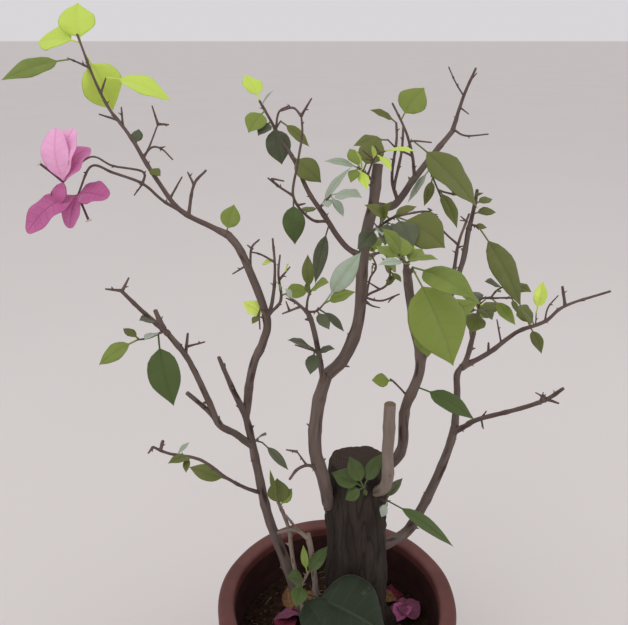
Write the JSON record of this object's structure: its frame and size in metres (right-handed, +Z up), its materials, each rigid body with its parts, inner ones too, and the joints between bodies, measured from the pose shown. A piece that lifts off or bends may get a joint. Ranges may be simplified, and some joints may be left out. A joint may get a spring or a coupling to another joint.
{
  "type": "potted bougainvillea bush",
  "caption": "Old bougainvillea with a sawn-off stump, long sparse stems, small groups of leaves and a spray of pink bracts, in a round tapering pot.",
  "frame": {"origin": "middle of the pot's flat underside", "axes": "+Z up, +X to the right and +Y to the back as the plant is seen from the front"},
  "size_m": [0.5266, 0.3049, 0.7181],
  "materials": {
    "pot_plastic": "moulded red-brown plastic, slightly worn",
    "potting_soil": "dark crumbly potting soil",
    "old_bark": "rough, dark, knobbly old bark",
    "stem_bark": "grey-brown bark with lengthwise cracks",
    "foliage": "soft, slightly glossy leaves on thin twigs",
    "bract": "thin papery pink bracts"
  },
  "bodies": {
    "root": {"arching_shoot": "foliage", "arching_stem": "stem_bark", "centre_leaves": "foliage", "centre_low_dark_leaf": "foliage", "centre_low_leaves": "foliage", "centre_top_leaves": "foliage", "curled_twig": "foliage", "cut_stub": "stem_bark", "cut_top_leaves": "foliage", "fallen_bract_1": "bract", "fallen_bract_2": "bract", "fallen_bract_3": "bract", "far_left_shoot": "foliage", "far_left_stem": "stem_bark", "far_left_stub": "stem_bark", "far_left_thorns": "foliage", "flower_spray": "bract", "foot_leaves": "foliage", "foot_peg": "stem_bark", "foot_peg_twig": "foliage", "foot_shoot": "stem_bark", "foot_shoot_leaves": "foliage", "front_leaves": "foliage", "front_low_leaves": "foliage", "high_shoot": "foliage", "high_twig": "foliage", "inner_twigs": "foliage", "leaning_branch": "foliage", "leaning_low_leaves": "foliage", "leaning_side_twig": "foliage", "left_fork_twigs": "foliage", "left_stem": "stem_bark", "left_stem_leaves": "foliage", "left_upper_twigs": "foliage", "lower_left_twig": "foliage", "middle_back_leaves": "foliage", "middle_crown": "stem_bark", "middle_left_branch": "stem_bark", "middle_left_leaves": "foliage", "middle_left_low_leaves": "foliage", "middle_stem": "stem_bark", "pot": "pot_plastic", "right_back_leaves": "foliage", "right_centre_stem": "stem_bark", "right_crown": "stem_bark", "right_lower_branch": "foliage", "right_shoot": "foliage", "right_stem": "stem_bark", "right_upper_branch": "foliage", "soil": "potting_soil", "tall_right_branch": "stem_bark", "tall_right_companion": "foliage", "tall_right_tip": "foliage", "trunk": "old_bark", "trunk_back_shoot": "foliage", "trunk_side_leaves": "foliage", "trunk_top_leaves": "foliage", "upper_right_branch": "stem_bark", "upper_right_leaves": "foliage", "upper_right_tip": "foliage"}
  },
  "joints": []
}
